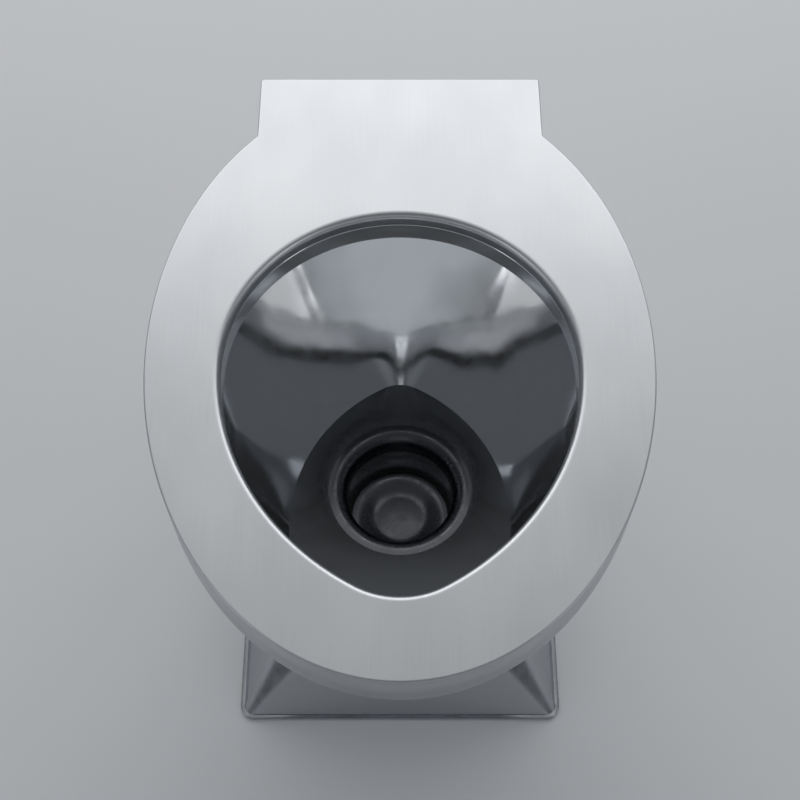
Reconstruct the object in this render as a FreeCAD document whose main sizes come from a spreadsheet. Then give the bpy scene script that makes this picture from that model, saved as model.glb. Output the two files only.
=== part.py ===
import FreeCAD, Part
import math
import operator
import os
from types import SimpleNamespace

import Sketcher

# Stainless pedestal toilet pan with a spring-closed outlet flap.
# Millimetres. The origin is on the floor, on the axis of the outlet; the user sits facing -Y.

SIZES = [
    ("rim_height", 400, "top of the deck above the floor"),
    ("sheet", 1.5, "thickness of the formed sheet"),
    ("seat_gap", 0.2, "gap left where two welded pieces meet on a curve"),
    ("opening_width", 263, "width between the faces of the collar"),
    ("opening_length", 310, "length between the faces of the collar"),
    ("opening_reach", 137, "rear of the opening from the outlet axis"),
    ("tip_radius", 63, "radius of the narrow front of the opening"),
    ("side_rim", 55.5, "deck beside the opening"),
    ("front_rim", 60, "deck in front of the opening"),
    ("rear_rim", 133, "oval deck behind the opening"),
    ("tab_past", 7, "rear edge of the tab behind the oval"),
    ("tab_width", 230, "width of the square rear tab"),
    ("tab_corner", 8, "corner radius of the tab"),
    ("root_radius", 2, "inner corners where the oval meets the tab"),
    ("edge_radius", 1.2, "rounding of the deck's outer edge"),
    ("skirt_height", 40, "height of the down-turned band"),
    ("lip_radius", 5, "outer radius of the rolled lip"),
    ("lip_depth", 12, "depth of the rolled lip below the deck"),
    ("collar_depth", 30, "lower edge of the collar below the deck"),
    ("hem_height", 3, "height of the folded hem on the collar"),
    ("floor_rise", 2, "rim floor above the lower edge of the band"),
    ("mouth_gap", 14, "bowl mouth outside the face of the collar"),
    ("flange_width", 12, "width of the bowl flange under the rim floor"),
    ("sump_depth", 67, "depth of the sump from its edge to the throat"),
    ("sump_side", 27, "sump beside the throat"),
    ("sump_front", 88, "sump in front of the throat"),
    ("sump_rear", 3.5, "sump behind the throat"),
    ("heel_radius", 28.5, "radius of the narrow rear of the sump"),
    ("throat_height", 193, "top of the throat ring above the floor"),
    ("throat_land", 3.5, "flat round the shoulder of the throat"),
    ("throat_depth", 21, "depth of the throat ring"),
    ("shoulder_radius", 12, "radius of the shoulder into the outlet"),
    ("tube_bore", 92, "bore of the outlet tube"),
    ("tube_end", 138, "lower end of the outlet tube above the floor"),
    ("neck_step", 4.5, "neck outside the seat of the throat ring"),
    ("neck_over", 17, "round top of the pedestal above the tube end"),
    ("base_size", 300, "side of the square base plate"),
    ("base_corner", 14, "corner radius of the base plate"),
    ("base_sheet", 3, "thickness of the base plate"),
    ("foot_lip", 4, "base plate outside the foot of the pedestal"),
    ("flat_angle", 1.5, "half angle of the flat faces at the neck"),
    ("drop_margin", 40, "base plate round its opening, at the narrowest"),
    ("bolt_inset", 30, "floor bolts from the edges of the base plate"),
    ("bolt_hole", 9, "clearance holes for the floor bolts"),
    ("nut_flats", 14, "weld nuts across flats"),
    ("nut_height", 6.5, "height of the weld nuts"),
    ("nut_bore", 8, "bore of the weld nuts"),
    ("ring_size", 10, "outer diameter of the spray ring"),
    ("ring_wall", 1, "wall of the spray ring and feed pipe"),
    ("ring_gap", 1, "spray ring behind the hem of the collar"),
    ("ring_drop", 14, "centre of the spray ring below the deck"),
    ("spray_hole", 2, "diameter of the spray holes"),
    ("post_size", 6, "diameter of the posts that hold the spray ring"),
    ("pipe_size", 12, "outer diameter of the feed pipe"),
    ("pipe_bend", 11, "bend radius of the feed pipe"),
    ("pipe_seat", 5, "depth of the feed pipe in the inlet fitting"),
    ("fit_gap", 0.05, "radial clearance of a close fit"),
    ("inlet_inset", 42, "water inlet from the rear edge of the tab"),
    ("inlet_thread", 20.9, "outer diameter of the hose thread"),
    ("thread_length", 14, "length of the hose thread"),
    ("relief_depth", 1.2, "depth of the groove above the hose thread"),
    ("relief_length", 2, "length of that groove"),
    ("shank_size", 24, "diameter of the inlet's shank in the rim floor"),
    ("shank_length", 12, "inlet's shank below the rim floor"),
    ("inlet_flats", 30, "inlet fitting across flats"),
    ("inlet_head", 8, "height of the inlet fitting's head"),
    ("inlet_bore", 10, "bore of the inlet fitting"),
    ("washer_size", 34, "outer diameter of the inlet washer"),
    ("washer_sheet", 2, "thickness of the inlet washer"),
    ("locknut_flats", 32, "inlet locknut across flats"),
    ("locknut_height", 8, "height of the inlet locknut"),
    ("flap_overlap", 6.5, "flap outside the outlet tube"),
    ("flap_sheet", 2, "thickness of the flap"),
    ("flap_rim", 5, "flat rim of the flap inside the tube bore"),
    ("dish_floor", 40, "diameter of the flap's flat middle"),
    ("dish_drop", 5, "depth of the flap's dish"),
    ("seal_gap", 0.3, "flap seal below the tube end"),
    ("seal_lip", 3, "seal above the flap"),
    ("seal_under", 1.5, "seal below the flap"),
    ("seal_rim", 2, "seal outside the flap"),
    ("seal_cover", 3, "seal inside the tube bore"),
    ("strap_width", 40, "width of the hinge strap"),
    ("strap_sheet", 3, "thickness of the hinge strap"),
    ("strap_reach", 18, "strap past the outlet axis"),
    ("eye_radius", 6.5, "outer radius of the strap's eyes"),
    ("eye_gap", 2.5, "eyes behind the seal"),
    ("spring_room", 21, "gap between the eyes for the spring"),
    ("pin_size", 6, "diameter of the hinge pin"),
    ("pin_head", 10, "diameter of the pin's head"),
    ("pin_head_length", 2, "length of the pin's head"),
    ("bush_wall", 1.4, "wall of the hinge bushes"),
    ("bush_flange", 1.5, "thickness of the bush flange"),
    ("bush_flange_size", 12, "diameter of the bush flange"),
    ("hinge_play", 1, "side play between bush flange and lug"),
    ("lug_sheet", 3, "thickness of the hinge lugs"),
    ("lug_radius", 7.5, "radius of the lugs round the pin"),
    ("lug_start", 3, "lower edge of the lugs above the tube end"),
    ("lug_rise", 14, "height of the lugs along the tube"),
    ("lug_top", 12, "length of the lugs' upper edge"),
    ("clip_sheet", 0.8, "thickness of the pin's clip"),
    ("clip_size", 11, "outer diameter of the clip"),
    ("clip_mouth", 3.8, "width of the clip's mouth"),
    ("groove_depth", 0.7, "depth of the clip's groove"),
    ("wire_size", 1.6, "spring wire diameter"),
    ("coil_radius", 5.3, "mean radius of the spring's coil"),
    ("coil_pitch", 2.15, "spring pitch"),
    ("leg_reach", 27, "length of the spring leg under the strap"),
    ("anchor_width", 9, "width of the tab that the spring bears on"),
    ("anchor_height", 4, "height of that tab"),
    ("anchor_start", 2, "underside of that tab above the tube end"),
    ("anchor_side", 8.5, "middle of that tab from the centre plane"),
]

SPRAY_HOLES = 16
RING_POSTS = 5
COIL_TURNS = 7
FIXED_LEG_LEAN = 25.0

doc = FreeCAD.newDocument("ToiletPan")
sizes_sheet = doc.addObject("Spreadsheet::Sheet", "Sizes")
for row, (alias, number, meaning) in enumerate(SIZES, start=1):
    sizes_sheet.set(f"A{row}", meaning)
    sizes_sheet.set(f"B{row}", str(number))
    sizes_sheet.setAlias(f"B{row}", alias)
doc.recompute()

OPERATIONS = {"+": operator.add, "-": operator.sub, "*": operator.mul, "/": operator.truediv}
CUTS = ("PartDesign::Pocket", "PartDesign::SubtractiveLoft", "PartDesign::SubtractivePipe")
PIECES = []


class Size:
    """A length together with the sheet expression that gives it."""

    def __init__(self, number, text):
        self.number = number
        self.text = text

    def __add__(self, other):
        return combine(self, "+", other)

    def __radd__(self, other):
        return combine(other, "+", self)

    def __sub__(self, other):
        return combine(self, "-", other)

    def __rsub__(self, other):
        return combine(other, "-", self)

    def __mul__(self, other):
        return combine(self, "*", other)

    def __rmul__(self, other):
        return combine(other, "*", self)

    def __truediv__(self, other):
        return combine(self, "/", other)

    def __neg__(self):
        return combine(0, "-", self)


def as_size(value):
    """A plain number becomes a size of its own."""
    if isinstance(value, Size):
        return value
    return Size(float(value), f"{float(value):.12g}")


def combine(left, sign, right):
    """The sum, difference, product or quotient of two sizes, as number and as text."""
    left = as_size(left)
    right = as_size(right)
    number = OPERATIONS[sign](left.number, right.number)
    return Size(number, f"({left.text} {sign} {right.text})")


def root(value):
    """The square root of a size."""
    return Size(math.sqrt(value.number), f"sqrt({value.text})")


s = SimpleNamespace(**{
    alias: Size(float(sizes_sheet.get(alias)), f"Sizes.{alias}") for alias, number, meaning in SIZES
})
ZERO = as_size(0)

# Deck round the opening
deck_width = s.opening_width + 2 * s.side_rim
deck_length = s.opening_length + s.front_rim + s.rear_rim
front_reach = s.opening_length + s.front_rim - s.opening_reach
rear_reach = s.opening_reach + s.rear_rim + s.tab_past

# Outline of the opening: a half circle at the rear, two flanks and a tip, all tangent
egg_half = s.opening_width / 2
egg_y = s.opening_reach - egg_half
tip_drop = s.opening_length - egg_half - s.tip_radius
flank_radius = (egg_half * egg_half + tip_drop * tip_drop - s.tip_radius * s.tip_radius) / (
    2 * (egg_half - s.tip_radius))
tip_side = (flank_radius - egg_half) / (flank_radius - s.tip_radius)
tip_front = tip_drop / (flank_radius - s.tip_radius)

# Heights
deck_under = s.rim_height - s.sheet
rim_floor_z = s.rim_height - s.skirt_height + s.floor_rise
sump_height = s.throat_height + s.sump_depth
ring_z = s.rim_height - s.ring_drop
neck_z = s.tube_end + s.neck_over
throat_end = s.throat_height - s.throat_depth

# Radii about the outlet axis
bore_radius = s.tube_bore / 2
tube_radius = bore_radius + s.sheet
seat_radius = bore_radius + s.shoulder_radius + s.throat_land
neck_radius = seat_radius + s.neck_step
flap_radius = tube_radius + s.flap_overlap
seal_radius = flap_radius + s.seal_rim

# Edge of the sump: a half circle at the front, two flanks and a heel, all tangent
sump_half = seat_radius + s.sump_side
sump_y = s.sump_side - s.sump_front
heel_rise = seat_radius + s.sump_rear - s.heel_radius - sump_y
sump_flank = (sump_half * sump_half + heel_rise * heel_rise - s.heel_radius * s.heel_radius) / (
    2 * (sump_half - s.heel_radius))
heel_side = (sump_flank - sump_half) / (sump_flank - s.heel_radius)
heel_rear = heel_rise / (sump_flank - s.heel_radius)

# Flap, hinge strap and pivot
flap_top = s.tube_end - s.seal_gap - s.seal_lip
flap_under = flap_top - s.flap_sheet
strap_top = flap_under - s.dish_drop
pivot_z = strap_top - s.strap_sheet / 2
pivot_y = seal_radius + s.eye_radius + s.eye_gap
pin_radius = s.pin_size / 2
pin_bore = pin_radius + s.fit_gap
bush_radius = pin_bore + s.bush_wall
lug_inner = s.strap_width / 2 + s.bush_flange + s.hinge_play
lug_outer = lug_inner + s.lug_sheet

# Foot
bolt_place = s.base_size / 2 - s.bolt_inset
drop_radius = s.base_size / 2 - s.drop_margin

# Rinse water
ring_offset = 2 * s.sheet + s.ring_gap + s.ring_size / 2
rim_floor_top = rim_floor_z + s.sheet
inlet_back = rear_reach - s.inlet_inset
shank_radius = s.shank_size / 2
shank_end = rim_floor_z - s.shank_length
thread_radius = s.inlet_thread / 2
thread_top = shank_end - s.relief_length
thread_end = thread_top - s.thread_length
inlet_top = rim_floor_top + s.inlet_head
pipe_start = inlet_top - s.pipe_seat


def new_body(label):
    """Starts one sub-part; its label names its file."""
    body = doc.addObject("PartDesign::Body", label)
    body.Label = label
    body.AllowCompound = True
    PIECES.append(body)
    return body


def new_sketch(body, name, role="XY_Plane", level=ZERO):
    """Starts a sketch on one of the body's own planes, moved along the plane's normal by level."""
    sketch = body.newObject("Sketcher::SketchObject", f"{body.Label}_{name}")
    plane = next(item for item in body.Origin.OriginFeatures if item.Role == role)
    sketch.AttachmentSupport = [(plane, "")]
    sketch.MapMode = "FlatFace"
    sketch.setExpression("AttachmentOffset.Base.z", level.text)
    return sketch


def bind(sketch, kind, places, size):
    """Adds a dimension that follows the sheet."""
    index = sketch.addConstraint(Sketcher.Constraint(kind, *places, size.number))
    sketch.setExpression(f"Constraints[{index}]", size.text)


def hold_point(sketch, geometry, end, x, y):
    """Places one point of a sketch from the sketch's origin."""
    for kind, size, axis in (("DistanceX", as_size(x), -2), ("DistanceY", as_size(y), -1)):
        if size.number == 0:
            sketch.addConstraint(Sketcher.Constraint("PointOnObject", geometry, end, axis))
        else:
            bind(sketch, kind, (-1, 1, geometry, end), size)


def arc_between(start, end, radius, turn):
    """The shorter arc from start to end; turn is 1 for anticlockwise and -1 for clockwise."""
    chord = end - start
    left = FreeCAD.Vector(-chord.y, chord.x, 0).normalize() * turn
    rise = math.sqrt(max(radius ** 2 - (chord.Length / 2) ** 2, 0))
    crown = (start + end) * 0.5 + left * (rise - radius)
    if turn > 0:
        return Part.Arc(start, crown, end)
    return Part.Arc(end, crown, start)


def draw(sketch, corners, closed=True):
    """Draws an outline. A corner holds x, y and, where an arc leaves it, the radius and its turn."""
    points = [FreeCAD.Vector(as_size(corner[0]).number, as_size(corner[1]).number, 0)
              for corner in corners]
    edges = []
    for index in range(len(corners) if closed else len(corners) - 1):
        start = points[index]
        end = points[(index + 1) % len(points)]
        if len(corners[index]) == 2:
            edges.append((sketch.addGeometry(Part.LineSegment(start, end)), 1, 2))
            continue
        radius, turn = corners[index][2:]
        geometry = sketch.addGeometry(arc_between(start, end, radius.number, turn))
        bind(sketch, "Radius", (geometry,), radius)
        edges.append((geometry, 1, 2) if turn > 0 else (geometry, 2, 1))
    for index, (geometry, first, last) in enumerate(edges):
        hold_point(sketch, geometry, first, *corners[index][:2])
        if closed or index + 1 < len(edges):
            after, after_first, after_last = edges[(index + 1) % len(edges)]
            sketch.addConstraint(Sketcher.Constraint("Coincident", geometry, last, after, after_first))
        else:
            hold_point(sketch, geometry, last, *corners[index + 1][:2])
    return edges


def draw_circle(sketch, x, y, radius):
    """Draws a circle held at its centre."""
    centre = FreeCAD.Vector(as_size(x).number, as_size(y).number, 0)
    circle = Part.Circle(centre, FreeCAD.Vector(0, 0, 1), radius.number)
    geometry = sketch.addGeometry(circle)
    bind(sketch, "Radius", (geometry,), radius)
    hold_point(sketch, geometry, 3, x, y)


def draw_deck(sketch, inset):
    """Draws the deck's outline, an ellipse with a square tab, moved inwards by inset."""
    across = deck_width / 2 - inset
    along = deck_length / 2 - inset
    middle = deck_length / 2 - front_reach
    tab = s.tab_width / 2 - inset
    rear = rear_reach - inset
    corner = s.tab_corner - inset
    centre = FreeCAD.Vector(0, middle.number, 0)
    rear_end = centre + FreeCAD.Vector(0, along.number, 0)
    left_end = centre - FreeCAD.Vector(across.number, 0, 0)
    tab_angle = math.asin(tab.number / across.number)
    oval = Part.ArcOfEllipse(Part.Ellipse(rear_end, left_end, centre), tab_angle, 2 * math.pi - tab_angle)
    arc = sketch.addGeometry(oval)
    sketch.exposeInternalGeometry(arc)
    hold_point(sketch, arc, 3, 0, middle)
    bind(sketch, "Distance", (arc + 1,), 2 * along)
    bind(sketch, "Distance", (arc + 2,), 2 * across)
    sketch.addConstraint(Sketcher.Constraint("Vertical", arc + 1))
    edges = draw(sketch, [
        (tab, rear - corner, corner, 1),
        (tab - corner, rear),
        (corner - tab, rear, corner, 1),
        (-tab, rear - corner),
    ], closed=False)
    for end, side, edge, meeting in (
            (2, tab, edges[0], oval.EndPoint),
            (1, -tab, edges[-1], oval.StartPoint)):
        geometry, first, last = edge
        near = first if side.number > 0 else last
        line = sketch.addGeometry(Part.LineSegment(meeting, sketch.getPoint(geometry, near)))
        sketch.addConstraint(Sketcher.Constraint("Coincident", line, 1, arc, end))
        sketch.addConstraint(Sketcher.Constraint("Coincident", line, 2, geometry, near))
        bind(sketch, "DistanceX", (-1, 1, arc, end), side)


def egg(offset):
    """Corners of the opening's outline, moved outwards by offset."""
    rear = egg_half + offset
    flank = flank_radius + offset
    tip = s.tip_radius + offset
    front = egg_y - tip_drop - tip_front * tip
    return [
        (rear, egg_y, rear, 1),
        (0, egg_y + rear, rear, 1),
        (-rear, egg_y, flank, 1),
        (-tip_side * tip, front, tip, 1),
        (tip_side * tip, front, flank, 1),
    ]


def bowl_mouth(offset):
    """Corners of the opening's outline, with more where the sump's edge changes its radius."""
    rear = egg_half + offset
    heel = egg_y + heel_rear * rear
    return [
        (rear, egg_y, rear, 1),
        (heel_side * rear, heel, rear, 1),
        (-heel_side * rear, heel, rear, 1),
        *egg(offset)[2:],
    ]


def sump_edge(offset):
    """Corners of the sump's edge, moved outwards by offset and facing the same ways as the mouth's."""
    wide = sump_half + offset
    flank = sump_flank + offset
    heel = s.heel_radius + offset
    rear = sump_y + heel_rise + heel_rear * heel
    front = sump_y - tip_front * wide
    return [
        (wide, sump_y, flank, 1),
        (heel_side * heel, rear, heel, 1),
        (-heel_side * heel, rear, flank, 1),
        (-wide, sump_y, wide, 1),
        (-tip_side * wide, front, wide, 1),
        (tip_side * wide, front, wide, 1),
    ]


def round_like_sump(radius):
    """Corners on a circle about the outlet axis, facing the same ways as those of the sump's edge."""
    return [
        (radius, 0, radius, 1),
        (heel_side * radius, heel_rear * radius, radius, 1),
        (-heel_side * radius, heel_rear * radius, radius, 1),
        (-radius, 0, radius, 1),
        (-tip_side * radius, -tip_front * radius, radius, 1),
        (tip_side * radius, -tip_front * radius, radius, 1),
    ]


def on_egg(angle, offset):
    """The point of the moved outline whose outward direction has this angle in degrees."""
    across = math.cos(math.radians(angle))
    along = math.sin(math.radians(angle))
    if along >= 0:
        return (egg_half + offset) * across, egg_y + (egg_half + offset) * along
    if -along > tip_front.number:
        return (s.tip_radius + offset) * across, egg_y - tip_drop + (s.tip_radius + offset) * along
    side = math.copysign(1, across)
    return (egg_half - flank_radius) * side + (flank_radius + offset) * across, (
        egg_y + (flank_radius + offset) * along)


def rounded_square(half, corner):
    """Corners of a square with rounded corners about the outlet axis."""
    straight = half - corner
    return [
        (half, -straight), (half, straight, corner, 1),
        (straight, half), (-straight, half, corner, 1),
        (-half, straight), (-half, -straight, corner, 1),
        (-straight, -half), (straight, -half, corner, 1),
    ]


def round_like_square(radius):
    """Corners on a circle for the rounded square, with a short arc over each flat face."""
    corners = []
    for quarter in range(4):
        for side in (-1, 1):
            angle = f"({90 * quarter} + {side} * {s.flat_angle.text})"
            turned = math.radians(90 * quarter + side * s.flat_angle.number)
            across = Size(math.cos(turned), f"cos({angle})")
            along = Size(math.sin(turned), f"sin({angle})")
            corners.append((radius * across, radius * along, radius, 1))
    return corners


def hexagon(x, y, flats):
    """Corners of a hexagon given across its flats."""
    radius = flats / math.sqrt(3)
    return [(x + radius * math.cos(math.radians(60 * step)), y + radius * math.sin(math.radians(60 * step)))
            for step in range(6)]


def pad(body, sketch, length):
    """Raises a sketch along its normal."""
    feature = body.newObject("PartDesign::Pad", f"{sketch.Name}_pad")
    feature.Profile = sketch
    feature.setExpression("Length", length.text)
    return feature


def pocket(body, sketch, length):
    """Cuts a sketch into the body against its normal."""
    feature = body.newObject("PartDesign::Pocket", f"{sketch.Name}_pocket")
    feature.Profile = sketch
    feature.setExpression("Length", length.text)
    return feature


def revolve(body, sketch):
    """Turns a sketch about the outlet axis."""
    feature = body.newObject("PartDesign::Revolution", f"{sketch.Name}_turned")
    feature.Profile = sketch
    feature.ReferenceAxis = (sketch, ["V_Axis"])
    feature.Angle = 360


def loft(body, kind, lower, upper):
    """Joins two sketches by straight lines."""
    feature = body.newObject(f"PartDesign::{kind}", f"{lower.Name}_loft")
    feature.Profile = lower
    feature.Sections = [upper]
    feature.Ruled = True


def sweep(body, profile, path, kind="AdditivePipe"):
    """Carries a profile along a path."""
    feature = body.newObject(f"PartDesign::{kind}", f"{profile.Name}_pipe")
    feature.Profile = profile
    doc.recompute()
    feature.Spine = (path, [f"Edge{index + 1}" for index in range(len(path.Shape.Edges))])


def four_round(body, feature, sketch):
    """Repeats a feature four times about the outlet axis."""
    pattern = body.newObject("PartDesign::PolarPattern", f"{feature.Name}_four")
    pattern.Originals = [feature]
    pattern.Axis = (sketch, ["N_Axis"])
    pattern.Angle = 360
    pattern.Occurrences = 4
    body.Tip = pattern


def mirrored(body, features):
    """Repeats features on the other side of the centre plane."""
    mirror = body.newObject("PartDesign::Mirrored", f"{body.Label}_mirrored")
    mirror.Originals = features
    plane = next(item for item in body.Origin.OriginFeatures if item.Role == "YZ_Plane")
    mirror.MirrorPlane = (plane, [""])
    body.Tip = mirror


def face_at(shape, height, facing):
    """The largest flat face at a height that looks up (1) or down (-1)."""
    faces = [face for face in shape.Faces
             if abs(face.BoundBox.ZMin - height) + abs(face.BoundBox.ZMax - height) < 1e-4
             and face.normalAt(0, 0).z * facing > 0.9]
    return max(faces, key=lambda face: face.Area)


def fillet(body, height, facing, inner, radius):
    """Rounds the outer edge, or the edge of the opening, of the flat face at a height."""
    doc.recompute()
    base = body.Tip
    face = face_at(base.Shape, height.number, facing)
    wires = [wire for wire in face.Wires if wire.isSame(face.OuterWire) != inner]
    chosen = [edge for wire in wires for edge in wire.Edges]
    names = [f"Edge{index + 1}" for index, edge in enumerate(base.Shape.Edges)
             if any(edge.isSame(other) for other in chosen)]
    feature = body.newObject("PartDesign::Fillet", f"{base.Name}_rounded")
    feature.Base = (base, names)
    feature.setExpression("Radius", radius.text)


def round_roots(body, inset, radius):
    """Rounds the upright edges where the oval meets the sides of the tab."""
    doc.recompute()
    base = body.Tip
    side = s.tab_width.number / 2 - inset.number
    upright = {}
    for index, edge in enumerate(base.Shape.Edges):
        box = edge.BoundBox
        if box.XLength + box.YLength < 1e-6 and abs(abs(box.XMin) - side) < 1e-4:
            upright[f"Edge{index + 1}"] = box.YMin
    foremost = min(upright.values())
    feature = body.newObject("PartDesign::Fillet", f"{base.Name}_roots")
    feature.Base = (base, [name for name, place in upright.items() if place - foremost < 1e-4])
    feature.setExpression("Radius", radius.text)


def make_top_deck():
    """Deck sheet with its square tab, and the opening's edge rolled down."""
    body = new_body("top_deck")
    plan = new_sketch(body, "plan", level=deck_under)
    draw_deck(plan, ZERO)
    draw(plan, egg(ZERO))
    pad(body, plan, s.sheet)
    round_roots(body, ZERO, s.root_radius)
    lip = new_sketch(body, "lip", level=s.rim_height - s.lip_depth)
    draw(lip, egg(ZERO))
    draw(lip, egg(s.sheet))
    pad(body, lip, s.lip_depth - s.sheet)
    fillet(body, s.rim_height, 1, True, s.lip_radius)
    fillet(body, deck_under, -1, True, s.lip_radius - s.sheet)
    fillet(body, s.rim_height, 1, False, s.edge_radius)


def make_deck_skirt():
    """Band round the edge of the deck."""
    body = new_body("deck_skirt")
    plan = new_sketch(body, "plan", level=s.rim_height - s.skirt_height)
    draw_deck(plan, ZERO)
    draw_deck(plan, s.sheet)
    pad(body, plan, s.skirt_height - s.sheet)
    round_roots(body, ZERO, s.root_radius)
    round_roots(body, s.sheet, s.root_radius + s.sheet)


def make_rim_collar():
    """Strip that hangs below the rolled lip, with a folded hem."""
    body = new_body("rim_collar")
    plan = new_sketch(body, "plan", level=s.rim_height - s.collar_depth)
    draw(plan, egg(ZERO))
    draw(plan, egg(s.sheet))
    pad(body, plan, s.collar_depth - s.lip_depth)
    hem = new_sketch(body, "hem", level=s.rim_height - s.collar_depth)
    draw(hem, egg(ZERO))
    draw(hem, egg(2 * s.sheet))
    pad(body, hem, s.hem_height)


def make_rim_floor():
    """Plate that closes the rim box from below and carries the bowl."""
    body = new_body("rim_floor")
    plan = new_sketch(body, "plan", level=rim_floor_z)
    draw_deck(plan, s.sheet + s.seat_gap)
    draw(plan, egg(s.mouth_gap))
    draw_circle(plan, 0, inlet_back, shank_radius + s.seat_gap)
    pad(body, plan, s.sheet)


def make_bowl_wall():
    """Funnel from the egg-shaped mouth to the sump's edge, with a flange under the rim floor."""
    body = new_body("bowl_wall")
    for kind, wall in (("AdditiveLoft", s.sheet), ("SubtractiveLoft", ZERO)):
        lower = new_sketch(body, f"{kind}_foot", level=sump_height)
        draw(lower, sump_edge(wall))
        upper = new_sketch(body, f"{kind}_mouth", level=rim_floor_z)
        draw(upper, bowl_mouth(s.mouth_gap + wall))
        loft(body, kind, lower, upper)
        if kind == "AdditiveLoft":
            flange = new_sketch(body, "flange", level=rim_floor_z - s.sheet)
            draw(flange, egg(s.mouth_gap + s.flange_width))
            pad(body, flange, s.sheet)


def make_bowl_sump():
    """Well at the bottom of the bowl, from the funnel down to the throat."""
    body = new_body("bowl_sump")
    for kind, wall in (("AdditiveLoft", s.sheet), ("SubtractiveLoft", ZERO)):
        lower = new_sketch(body, f"{kind}_throat", level=s.throat_height - wall)
        draw(lower, round_like_sump(seat_radius + wall))
        upper = new_sketch(body, f"{kind}_edge", level=sump_height)
        draw(upper, sump_edge(wall))
        loft(body, kind, lower, upper)
    hole = new_sketch(body, "hole", level=s.throat_height)
    draw_circle(hole, 0, 0, seat_radius)
    pocket(body, hole, 2 * s.sheet)


def make_throat_ring():
    """Ring with the rounded shoulder that leads into the outlet."""
    body = new_body("throat_ring")
    profile = new_sketch(body, "profile", role="XZ_Plane")
    shoulder = bore_radius + s.shoulder_radius
    shoulder_z = s.throat_height - s.shoulder_radius
    rim = seat_radius - s.seat_gap
    draw(profile, [
        (rim, s.throat_height),
        (shoulder, s.throat_height, s.shoulder_radius, 1),
        (bore_radius, shoulder_z),
        (bore_radius, throat_end),
        (tube_radius, throat_end),
        (tube_radius, shoulder_z, s.shoulder_radius - s.sheet, -1),
        (shoulder, s.throat_height - s.sheet),
        (rim, s.throat_height - s.sheet),
    ])
    revolve(body, profile)


def make_outlet_tube():
    """Round outlet below the throat."""
    body = new_body("outlet_tube")
    plan = new_sketch(body, "plan", level=s.tube_end)
    draw_circle(plan, 0, 0, bore_radius)
    draw_circle(plan, 0, 0, tube_radius)
    pad(body, plan, throat_end - s.tube_end)


def make_neck_ring():
    """Band between the pedestal and the underside of the sump."""
    body = new_body("neck_ring")
    plan = new_sketch(body, "plan", level=neck_z)
    draw_circle(plan, 0, 0, neck_radius)
    draw_circle(plan, 0, 0, neck_radius - s.sheet)
    sump_slope = (s.sump_depth + s.sheet) / s.sump_front
    rise = (s.neck_step - 2 * s.sheet) * sump_slope
    pad(body, plan, s.throat_height - s.sheet + rise - s.seat_gap - neck_z)


def make_pedestal():
    """Sheet skirt, square at the foot and round at the neck."""
    body = new_body("pedestal")
    half = s.base_size / 2 - s.foot_lip
    corner = s.base_corner - s.foot_lip
    for kind, wall in (("AdditiveLoft", ZERO), ("SubtractiveLoft", s.sheet)):
        foot = new_sketch(body, f"{kind}_foot", level=s.base_sheet)
        draw(foot, rounded_square(half - wall, corner - wall))
        neck = new_sketch(body, f"{kind}_neck", level=neck_z)
        draw(neck, round_like_square(neck_radius - wall))
        loft(body, kind, foot, neck)


def make_base_plate():
    """Floor plate with its round opening and four bolt holes."""
    body = new_body("base_plate")
    plan = new_sketch(body, "plan")
    draw(plan, rounded_square(s.base_size / 2, s.base_corner))
    draw_circle(plan, 0, 0, drop_radius)
    pad(body, plan, s.base_sheet)
    hole = new_sketch(body, "hole", level=s.base_sheet)
    draw_circle(hole, bolt_place, bolt_place, s.bolt_hole / 2)
    four_round(body, pocket(body, hole, s.base_sheet), hole)


def make_weld_nuts():
    """Nuts on the base plate, for bolts from below."""
    body = new_body("weld_nuts")
    plan = new_sketch(body, "plan", level=s.base_sheet)
    draw(plan, hexagon(bolt_place, bolt_place, s.nut_flats))
    draw_circle(plan, bolt_place, bolt_place, s.nut_bore / 2)
    four_round(body, pad(body, plan, s.nut_height), plan)


def make_spray_ring():
    """Rinse tube behind the collar, with holes along its underside."""
    body = new_body("spray_ring")
    path = new_sketch(body, "path", level=ring_z)
    draw(path, egg(ring_offset))
    for kind, wall in (("AdditivePipe", ZERO), ("SubtractivePipe", s.ring_wall)):
        profile = new_sketch(body, kind, role="YZ_Plane")
        draw_circle(profile, egg_y + egg_half + ring_offset, ring_z, s.ring_size / 2 - wall)
        sweep(body, profile, path, kind)
    holes = new_sketch(body, "holes", level=ring_z)
    for step in range(SPRAY_HOLES):
        draw_circle(holes, *on_egg(360 * (step + 0.5) / SPRAY_HOLES, ring_offset), s.spray_hole / 2)
    pocket(body, holes, s.ring_size)


def make_ring_posts():
    """Posts that hang the spray ring from the deck."""
    body = new_body("ring_posts")
    foot = ring_z + s.ring_size / 2 + s.fit_gap
    plan = new_sketch(body, "plan", level=foot)
    for step in range(RING_POSTS):
        draw_circle(plan, *on_egg(90 + 360 * (step + 0.5) / RING_POSTS, ring_offset), s.post_size / 2)
    pad(body, plan, deck_under - foot)


def make_feed_pipe():
    """Bent pipe from the inlet fitting to the rear of the spray ring."""
    body = new_body("feed_pipe")
    ring_rear = egg_y + egg_half + ring_offset + s.ring_size / 2 + s.seat_gap
    path = new_sketch(body, "path", role="YZ_Plane")
    draw(path, [
        (inlet_back, pipe_start),
        (inlet_back, ring_z - s.pipe_bend, s.pipe_bend, 1),
        (inlet_back - s.pipe_bend, ring_z),
        (ring_rear, ring_z),
    ], closed=False)
    profile = new_sketch(body, "profile", level=pipe_start)
    for radius in (s.pipe_size / 2, s.pipe_size / 2 - s.ring_wall):
        draw_circle(profile, 0, inlet_back, radius)
    sweep(body, profile, path)


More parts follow.
